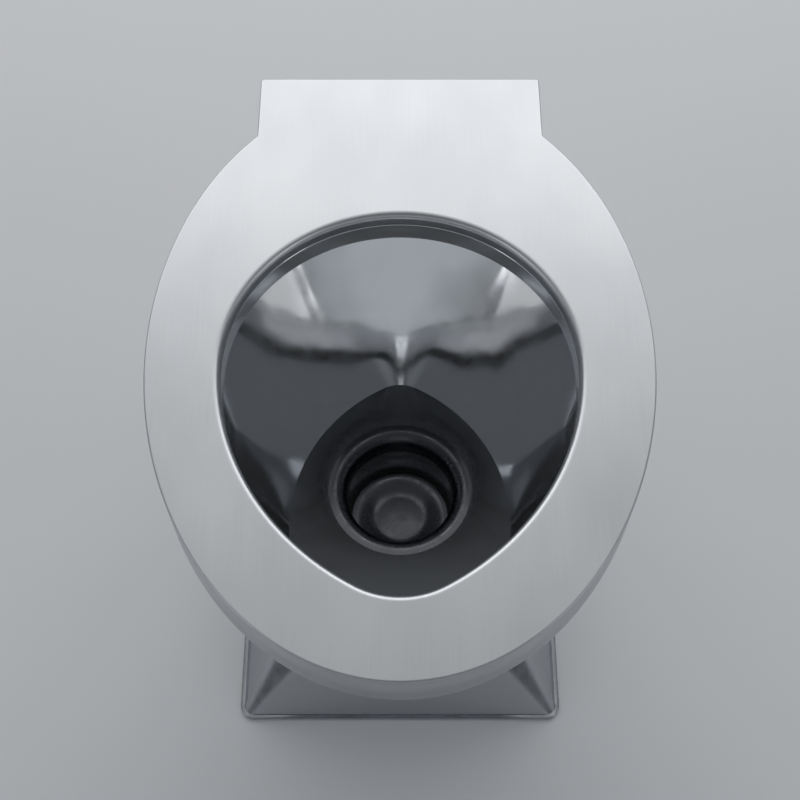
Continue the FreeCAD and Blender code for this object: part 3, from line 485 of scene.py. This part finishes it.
def new_tree(name, inputs, output):
    """An empty geometry tree with its sockets, and the outputs of its input node."""
    tree = bpy.data.node_groups.new(name, "GeometryNodeTree")
    for socket, kind in inputs.items():
        tree.interface.new_socket(socket, in_out="INPUT", socket_type=f"NodeSocket{kind}")
    tree.interface.new_socket(output, in_out="OUTPUT", socket_type="NodeSocketGeometry")
    return tree, add(tree, "NodeGroupInput").outputs


def end_tree(tree, geometry, material, output):
    """Smooths a tree's geometry, gives it its material and hands it on."""
    smooth = add(tree, "GeometryNodeSetShadeSmooth", {"Geometry": geometry})
    real = add(tree, "GeometryNodeRealizeInstances", {"Geometry": smooth.outputs["Geometry"]})
    finished = add(tree, "GeometryNodeSetMaterial", {
        "Geometry": real.outputs["Geometry"], "Material": material})
    add(tree, "NodeGroupOutput", {output: finished.outputs["Geometry"]})


def whole(tree, operation, *values):
    """The result of an operation on whole numbers."""
    return add(tree, "FunctionNodeIntegerMath", dict(enumerate(values)), operation=operation).outputs[0]


def outline_tree():
    """Geometry nodes that join outlines of equal point count, one after the other, into a sheet."""
    tree, given = new_tree("sheet_from_outlines", {
        "Outlines": "Geometry", "Outline count": "Int", "Points around": "Int", "Closed section": "Int",
        "Material": "Material"}, "Sheet")
    index = add(tree, "GeometryNodeInputIndex").outputs["Index"]
    columns = whole(tree, "ADD", given["Points around"], 1)
    rows = whole(tree, "ADD", given["Outline count"], given["Closed section"])
    row = whole(tree, "DIVIDE_FLOOR", index, columns)
    column = whole(tree, "MODULO", index, columns)
    outline = whole(tree, "MODULO", row, given["Outline count"])
    step = whole(tree, "MODULO", column, given["Points around"])
    source = whole(tree, "MULTIPLY_ADD", outline, given["Points around"], step)
    band = whole(tree, "DIVIDE_FLOOR", index, given["Points around"])
    grid = add(tree, "GeometryNodeMeshGrid", {"Vertices X": rows, "Vertices Y": columns})
    banded = add(tree, "GeometryNodeStoreNamedAttribute", {
        "Geometry": grid.outputs["Mesh"], "Name": "band", "Value": band}, data_type="INT", domain="FACE")
    place = add(tree, "GeometryNodeSampleIndex", {
        "Geometry": given["Outlines"], "Value": add(tree, "GeometryNodeInputPosition").outputs["Position"],
        "Index": source}, data_type="FLOAT_VECTOR", domain="POINT")
    placed = add(tree, "GeometryNodeSetPosition", {
        "Geometry": banded.outputs["Geometry"], "Position": place.outputs["Value"]})
    joined = add(tree, "GeometryNodeMergeByDistance", {
        "Geometry": placed.outputs["Geometry"], "Distance": MERGE_METRES})
    end_tree(tree, joined.outputs["Geometry"], given["Material"], "Sheet")
    return tree


def wire_tree():
    """Geometry nodes that carry a round wire along a path."""
    tree, given = new_tree("wire_along_path", {
        "Path": "Geometry", "Wire radius": "Float", "Material": "Material"}, "Wire")
    path = add(tree, "GeometryNodeMeshToCurve", {"Mesh": given["Path"]})
    section = add(tree, "GeometryNodeCurvePrimitiveCircle", {
        "Resolution": WIRE_SIDES, "Radius": given["Wire radius"]})
    swept = add(tree, "GeometryNodeCurveToMesh", {
        "Curve": path.outputs["Curve"], "Profile Curve": section.outputs["Curve"], "Fill Caps": True})
    end_tree(tree, swept.outputs["Mesh"], given["Material"], "Wire")
    return tree


sheet_nodes = outline_tree()


def grown(name, mesh, tree, values):
    """A plain mesh object that a geometry tree makes from a starting mesh."""
    piece = bpy.data.objects.new(name, mesh)
    scene.collection.objects.link(piece)
    modifier = piece.modifiers.new("shape", "NODES")
    modifier.node_group = tree
    for socket in tree.interface.items_tree:
        if socket.name in values:
            modifier[socket.identifier] = values[socket.name]
    made = bpy.data.meshes.new_from_object(piece.evaluated_get(bpy.context.evaluated_depsgraph_get()))
    piece.modifiers.remove(modifier)
    piece.data = made
    bpy.data.meshes.remove(mesh)
    shell = bmesh.new()
    shell.from_mesh(made)
    bmesh.ops.recalc_face_normals(shell, faces=shell.faces)
    shell.to_mesh(made)
    shell.free()
    made.name = name
    made.set_sharp_from_angle(angle=math.radians(SHARP_ANGLE))
    return piece


def seat(piece, body, slot, *nodes):
    """The piece rides on its body and stands for its solids."""
    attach(piece, body)
    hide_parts(*nodes)


def sheet(node, outlines, material, slot, body="pan", closed=True):
    """Makes the piece that stands for a sheet-metal solid from its outlines."""
    points = [point / MM_PER_M for outline in outlines for point in outline]
    mesh = bpy.data.meshes.new(node)
    mesh.from_pydata(points, [], [])
    piece = grown(f"{node}_sheet", mesh, sheet_nodes, {
        "Outline count": len(outlines), "Points around": AROUND, "Closed section": int(closed),
        "Material": material})
    seat(piece, body, slot, node)
    return piece


def second_finish(piece, material, first, last):
    """Gives the bands of a sheet from first to last another material."""
    piece.data.materials.append(material)
    for face, band in zip(piece.data.polygons, piece.data.attributes["band"].data):
        if first <= band.value <= last:
            face.material_index = 1


def plate(node, low, high, edge, outlines, material, slot):
    """Makes the piece that stands for a flat plate: outlines are its rim and then its holes."""
    curve = bpy.data.curves.new(node, "CURVE")
    curve.dimensions = "2D"
    curve.fill_mode = "BOTH"
    curve.extrude = (high - low) / 2 / MM_PER_M - edge / MM_PER_M
    curve.bevel_depth = edge / MM_PER_M
    curve.bevel_resolution = 3
    curve.offset = -edge / MM_PER_M
    for outline in outlines:
        spline = curve.splines.new("POLY")
        spline.points.add(len(outline) - 1)
        for point, (x, y) in zip(spline.points, outline):
            point.co = (x / MM_PER_M, y / MM_PER_M, 0, 1)
        spline.use_cyclic_u = True
    former = bpy.data.objects.new(node, curve)
    scene.collection.objects.link(former)
    mesh = bpy.data.meshes.new_from_object(former.evaluated_get(bpy.context.evaluated_depsgraph_get()))
    bpy.data.objects.remove(former)
    shell = bmesh.new()
    shell.from_mesh(mesh)
    bmesh.ops.remove_doubles(shell, verts=shell.verts, dist=MERGE_METRES)
    bmesh.ops.translate(shell, verts=shell.verts, vec=(0, 0, (high + low) / 2 / MM_PER_M))
    bmesh.ops.recalc_face_normals(shell, faces=shell.faces)
    for face in shell.faces:
        face.smooth = True
    shell.to_mesh(mesh)
    shell.free()
    mesh.set_sharp_from_angle(angle=math.radians(SHARP_ANGLE))
    mesh.materials.clear()
    mesh.materials.append(material)
    piece = bpy.data.objects.new(f"{node}_sheet", mesh)
    scene.collection.objects.link(piece)
    seat(piece, "pan", slot, node)


# Deck: flat brushed top, small round edge, and a buffed lip rolled down into the opening
deck_ways = [math.degrees(math.atan2(point.y - EGG_MIDDLE, point.x)) for point in deck_outline(0, 0)]
deck_edge = arc((0, DECK_TOP - EDGE_ROUND), EDGE_ROUND, 0, 90, steps=5)
lip_middle = (LIP_ROUND, DECK_TOP - LIP_ROUND)
lip = [(LIP_ROUND + HOLD, DECK_TOP), *arc(lip_middle, LIP_ROUND, 90, 180, steps=10)]
lip += [(0, LIP_LOW + EDGE_BREAK), (EDGE_BREAK, LIP_LOW)]
lip += [(SHEET - INNER_BREAK, LIP_LOW), (SHEET, LIP_LOW + INNER_BREAK)]
under_lip = arc(lip_middle, LIP_ROUND - SHEET, 180, 90, steps=6)
deck_outlines = [deck_outline(0, DECK_TOP - SHEET)]
deck_outlines += [deck_outline(EDGE_ROUND - x, z) for x, z in deck_edge]
deck_outlines.append(deck_outline(EDGE_ROUND + HOLD, DECK_TOP))
lip_start = len(deck_outlines)
deck_outlines += [egg(offset, z, deck_ways) for offset, z in lip + under_lip]
deck = sheet("top_deck", deck_outlines, deck_steel, "brushed_stainless")
second_finish(deck, lip_steel, lip_start, lip_start + len(lip))

# Band under the edge of the deck
skirt = [(0, DECK_TOP - SHEET), (0, SKIRT_LOW + SKIRT_BREAK)]
skirt += [(SKIRT_BEND_IN, SKIRT_LOW + SKIRT_BEND_UP), (SKIRT_BREAK, SKIRT_LOW)]
skirt += [(SHEET - EDGE_BREAK, SKIRT_LOW), (SHEET, SKIRT_LOW + EDGE_BREAK), (SHEET, DECK_TOP - SHEET)]
sheet("deck_skirt", [deck_outline(inset, z) for inset, z in skirt], band_steel, "brushed_stainless")

# Collar that hangs below the lip, its lower edge folded into a round hem
collar = [(EDGE_BREAK, LIP_LOW), (0, LIP_LOW - EDGE_BREAK)]
collar += arc((SHEET, COLLAR_LOW + SHEET), SHEET, 180, 360, steps=12)
collar += [(2 * SHEET, COLLAR_LOW + HEM_HEIGHT), (SHEET, COLLAR_LOW + HEM_HEIGHT), (SHEET, LIP_LOW)]
sheet("rim_collar", [egg(offset, z) for offset, z in collar], collar_steel, "polished_stainless")

# Funnel: from the egg-shaped mouth, drawn in at the sides, to the edge of the sump, with a flange at the top
mouth = drawn_in(egg(MOUTH_GAP, MOUTH_Z))
outer_mouth = drawn_in(egg(MOUTH_GAP + SHEET, MOUTH_Z))
sump_rim = sump_edge(0, SUMP_Z)
outer_rim = sump_edge(SHEET, SUMP_Z)
flange_share = SHEET / (MOUTH_Z - SUMP_Z)
outer_top = [high.lerp(low, flange_share) for high, low in zip(outer_mouth, outer_rim)]
outer_wall = bellied(outer_top, outer_rim, FUNNEL_STEPS)
funnel = [mouth, *bellied(mouth, sump_rim, FUNNEL_STEPS), outer_rim, *outer_wall[-2::-1], outer_top]
funnel += [egg(FLANGE_EDGE, MOUTH_Z - SHEET), egg(FLANGE_EDGE, MOUTH_Z)]
sheet("bowl_wall", funnel, mirror_steel, "polished_stainless")

# Sump: straight lines from its edge down to the outlet's shoulder
seat_ring = ring(SEAT_RADIUS, THROAT_Z)
outer_seat = ring(SEAT_RADIUS + SHEET, THROAT_Z - SHEET)
sump = [sump_rim, *between(sump_rim, seat_ring, steps=8), ring(SEAT_RADIUS, THROAT_Z - SHEET)]
sump += [outer_seat, *between(outer_seat, outer_rim, steps=4)]
sheet("bowl_sump", sump, sump_steel, "polished_stainless")

# Rounded shoulder into the outlet
shoulder_middle = (BORE + SHOULDER, THROAT_Z - SHOULDER)
throat = [(SEAT_RADIUS, THROAT_Z), *arc(shoulder_middle, SHOULDER, 90, 180, steps=14)]
throat += [(BORE, THROAT_LOW), (BORE + SHEET, THROAT_LOW)]
throat += [*arc(shoulder_middle, SHOULDER - SHEET, 180, 90, steps=8), (SEAT_RADIUS, THROAT_Z - SHEET)]
sheet("throat_ring", turned(throat), flap_steel, "polished_stainless")

# Outlet tube, its lower edge broken where the flap's seal meets it
tube = [(BORE, THROAT_LOW), (BORE, TUBE_LOW + TUBE_BREAK), (BORE + EDGE_BREAK, TUBE_LOW)]
tube += [(BORE + SHEET - EDGE_BREAK, TUBE_LOW), (BORE + SHEET, TUBE_LOW + TUBE_BREAK)]
tube += [(BORE + SHEET, THROAT_LOW)]
sheet("outlet_tube", turned(tube), sump_steel, "polished_stainless")

# Band between the pedestal and the bowl
neck = [(NECK_RADIUS, NECK_Z), (NECK_RADIUS, NECK_TOP)]
neck += [(NECK_RADIUS - SHEET, NECK_TOP), (NECK_RADIUS - SHEET, NECK_Z)]
sheet("neck_ring", turned(neck), foot_steel, "mill_stainless")

# Pedestal: straight lines from the square foot to the round neck
outer_foot = foot_outline(FOOT_HALF, FOOT_CORNER, FOOT_Z)
outer_neck = neck_outline(NECK_RADIUS, NECK_Z)
inner_neck = neck_outline(NECK_RADIUS - SHEET, NECK_Z)
inner_foot = foot_outline(FOOT_HALF - SHEET, FOOT_CORNER - SHEET, FOOT_Z)
pedestal = [outer_foot, *between(outer_foot, outer_neck, steps=8)]
pedestal += [inner_neck, *between(inner_neck, inner_foot, steps=4)]
sheet("pedestal", pedestal, foot_steel, "polished_stainless")

# Floor plate: a round-cornered square with the outlet opening and four bolt holes
plate_rim = [(point.x, point.y) for point in foot_outline(PLATE_HALF, PLATE_CORNER, 0)]
plate_holes = [arc((0, 0), DROP_RADIUS, 0, -360, steps=120)[:-1]]
for x in (-BOLT_PLACE, BOLT_PLACE):
    for y in (-BOLT_PLACE, BOLT_PLACE):
        plate_holes.append(arc((x, y), BOLT_HOLE, 0, -360, steps=32)[:-1])
plate("base_plate", 0, FOOT_Z, PLATE_ROUND, [plate_rim, *plate_holes], foot_steel, "brushed_stainless")

# Flap: dished disc under the outlet
flap = [*dish(FLAP_TOP), *reversed(dish(FLAP_TOP - FLAP_SHEET))]
sheet("flap_plate", turned(flap), flap_steel, "polished_stainless", body="flap", closed=False)

# Spring that shuts the flap
path = [point / MM_PER_M for point in spring_path()]
path_mesh = bpy.data.meshes.new("spring_path")
path_mesh.from_pydata(path, [(step, step + 1) for step in range(len(path) - 1)], [])
spring = grown("torsion_spring_wire", path_mesh, wire_tree(), {
    "Wire radius": WIRE / 2 / MM_PER_M, "Material": wire_steel})
seat(spring, "pan", "spring_wire", "torsion_spring")

# Pieces that are shown as their solids are
for material, nodes in (
        (mill_steel, ["rim_floor", "weld_nuts", "spray_ring", "ring_posts", "feed_pipe", "hinge_lugs",
                      "hinge_pin", "pin_clip", "hinge_strap", "spring_anchor"]),
        (brass, ["inlet_fitting", "inlet_locknut"]),
        (rubber, ["flap_seal", "inlet_washer"]),
        (nylon, ["hinge_bushes"])):
    for node in nodes:
        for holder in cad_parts[node].material_slots:
            holder.material = material

# Stage, in metres: a pale floor just below the pan
FLOOR_HALF = 4
FLOOR_Z = -0.0004
floor_mesh = bpy.data.meshes.new("floor")
floor_mesh.from_pydata(
    [(-FLOOR_HALF, -FLOOR_HALF, FLOOR_Z), (FLOOR_HALF, -FLOOR_HALF, FLOOR_Z),
     (FLOOR_HALF, FLOOR_HALF, FLOOR_Z), (-FLOOR_HALF, FLOOR_HALF, FLOOR_Z)], [], [(0, 1, 2, 3)])
floor = bpy.data.objects.new("floor", floor_mesh)
scene.collection.objects.link(floor)
floor_paint, floor_tree, floor_shader = new_material("matt_floor_paint")
feed(floor_tree, floor_shader, {"Base Color": paint("#E4E5E7"), "Roughness": 0.8})
floor_mesh.materials.append(floor_paint)

# The walls of the studio are lit above the height of its tables, and its ceiling is dimmer. The spans are
# upward parts of a direction.
TABLE_LIGHT = 0.13
WALL_LIGHT = 0.55
CEILING_LIGHT = 0.15
WALL_SPAN = (0.27, 0.38)
CEILING_SPAN = (0.5, 0.7)
world = bpy.data.worlds.new("studio")
world.use_nodes = True
studio = world.node_tree
toward = add(studio, "ShaderNodeTexCoord").outputs["Generated"]
upward = add(studio, "ShaderNodeSeparateXYZ", {"Vector": toward}).outputs["Z"]
wall = ranged(studio, upward, WALL_SPAN, (TABLE_LIGHT, WALL_LIGHT))
ceiling = ranged(studio, upward, CEILING_SPAN, (WALL_LIGHT, CEILING_LIGHT))
lit = add(studio, "ShaderNodeMath", {0: wall, 1: ceiling}, operation="MINIMUM").outputs[0]
feed(studio, studio.nodes["Background"], {"Color": (0.9, 0.95, 1.0, 1.0), "Strength": lit})
scene.world = world

# Soft lights that face the bowl: behind and above for the deck, low at the sides for the foot, and narrow
# at the front for streaks in the polish. Each has a place, a width, a height and a power in watts.
BOWL = Vector((0, 0, 0.35))
for name, place, width, height, power in (
        ("rear_low_light", (0, 2.3, 1.2), 3.0, 0.6, 6),
        ("rear_light", (0, 2.0, 1.95), 4.4, 1.3, 26),
        ("rear_high_light", (0, 1.34, 2.34), 2.4, 0.76, 3),
        ("top_light", (0, 0.55, 2.7), 2.0, 0.9, 3.0),
        ("left_light", (-2.1, -0.56, 0.78), 1.2, 0.8, 1.6),
        ("right_light", (2.1, -0.56, 0.78), 1.2, 0.8, 1.6),
        ("front_left_light", (-1.65, -0.95, 1.5), 0.4, 0.9, 1.4),
        ("front_right_light", (1.65, -0.95, 1.5), 0.4, 0.9, 1.4)):
    lamp = bpy.data.lights.new(name, "AREA")
    lamp.shape = "RECTANGLE"
    lamp.size = width
    lamp.size_y = height
    lamp.energy = power
    holder = bpy.data.objects.new(name, lamp)
    holder.location = place
    holder.rotation_euler = (BOWL - Vector(place)).to_track_quat("-Z", "Y").to_euler()
    scene.collection.objects.link(holder)

# Camera, with the place, tilt and focal length that were fitted to the photo
camera_lens = bpy.data.cameras.new("camera")
camera_lens.lens = 59.2
camera_lens.sensor_width = 36.0
camera = bpy.data.objects.new("camera", camera_lens)
camera.location = (0, -0.4794, 1.2278)
camera.rotation_euler = (math.radians(28.7), 0, 0)
scene.collection.objects.link(camera)
scene.camera = camera
scene.view_settings.view_transform = "Standard"
